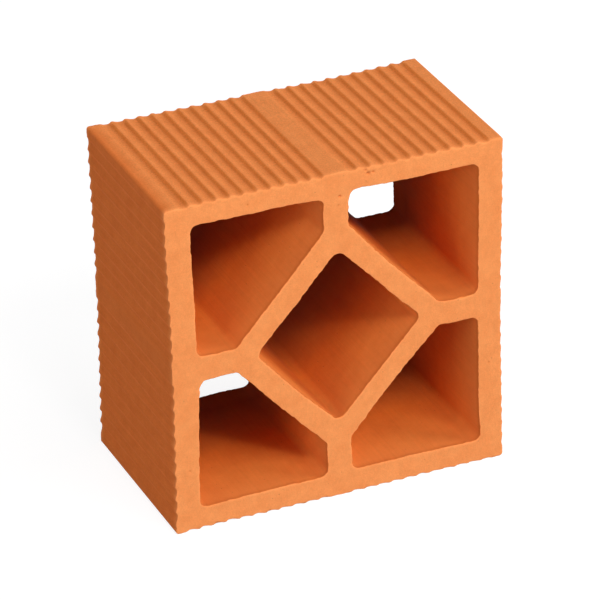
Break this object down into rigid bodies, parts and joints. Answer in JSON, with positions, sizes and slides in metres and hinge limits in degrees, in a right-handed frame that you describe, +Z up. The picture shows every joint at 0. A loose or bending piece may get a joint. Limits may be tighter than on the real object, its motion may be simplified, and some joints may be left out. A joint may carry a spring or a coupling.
{
  "type": "ceramic breeze block",
  "caption": "Square fired clay screen block with a diamond opening in the middle, an opening in each corner, and grooved outer sides that take mortar.",
  "frame": {"origin": "middle of the underside", "axes": "+Z up as the block stands in the picture, the openings run along Y, and the front face looks along -Y"},
  "size_m": [0.2, 0.112, 0.2],
  "materials": {
    "clay": "matte unglazed fired clay"
  },
  "bodies": {
    "root": {"breeze_block": "clay"}
  },
  "joints": []
}
